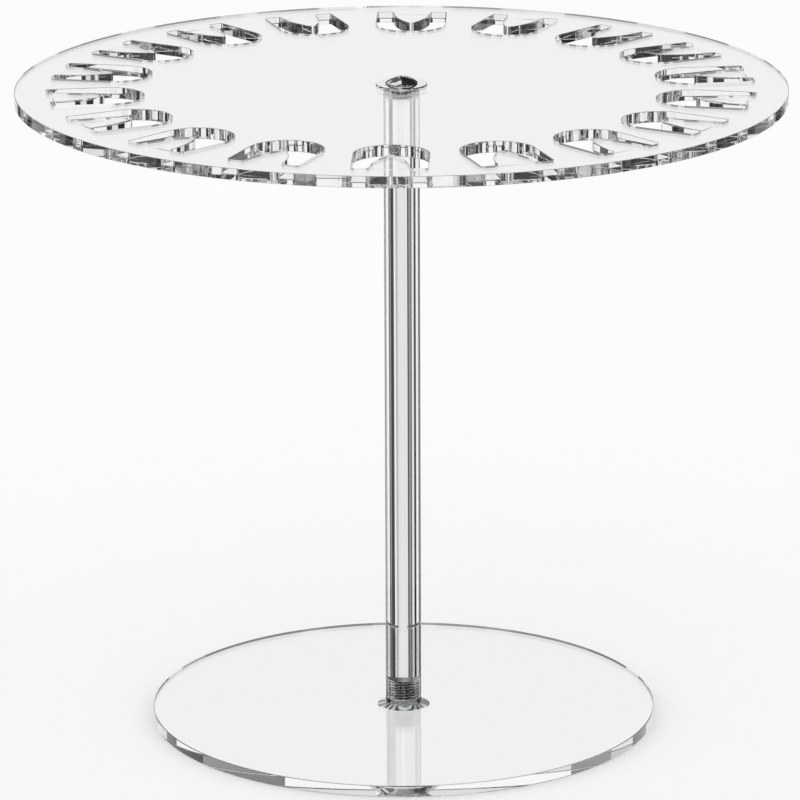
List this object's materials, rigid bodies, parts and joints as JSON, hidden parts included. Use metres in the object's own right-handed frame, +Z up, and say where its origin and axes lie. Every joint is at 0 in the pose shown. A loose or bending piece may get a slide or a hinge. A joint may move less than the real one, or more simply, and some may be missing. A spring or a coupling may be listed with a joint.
{
  "type": "jewelry stand",
  "caption": "Clear acrylic necklace carousel: a turning round top disc with horseshoe slots near its rim, on a solid round post and a round base disc, held by chrome screws.",
  "frame": {"origin": "centre of the base disc's underside", "axes": "+Z up along the post, -Y towards the viewer's front"},
  "size_m": [0.27, 0.27, 0.2343],
  "materials": {
    "base_acrylic": "clear cast acrylic, polished edge",
    "post_acrylic": "clear extruded acrylic rod, polished",
    "top_acrylic": "clear cast acrylic, laser cut edges",
    "screw_chrome": "bright chrome plate",
    "washer_chrome": "bright chrome plate",
    "bush_nylon": "natural translucent nylon"
  },
  "bodies": {
    "stand": {"base_disc": "base_acrylic", "post": "post_acrylic", "base_screw": "screw_chrome", "pivot_bush": "bush_nylon", "top_washer": "washer_chrome", "top_screw": "screw_chrome"},
    "carousel": {"top_disc": "top_acrylic"}
  },
  "joints": [
    {"name": "carousel_spin", "type": "hinge", "parent": "stand", "child": "carousel", "pos_m": [0, 0, 0.229], "axis": [0, 0, 1], "continuous": true}
  ]
}
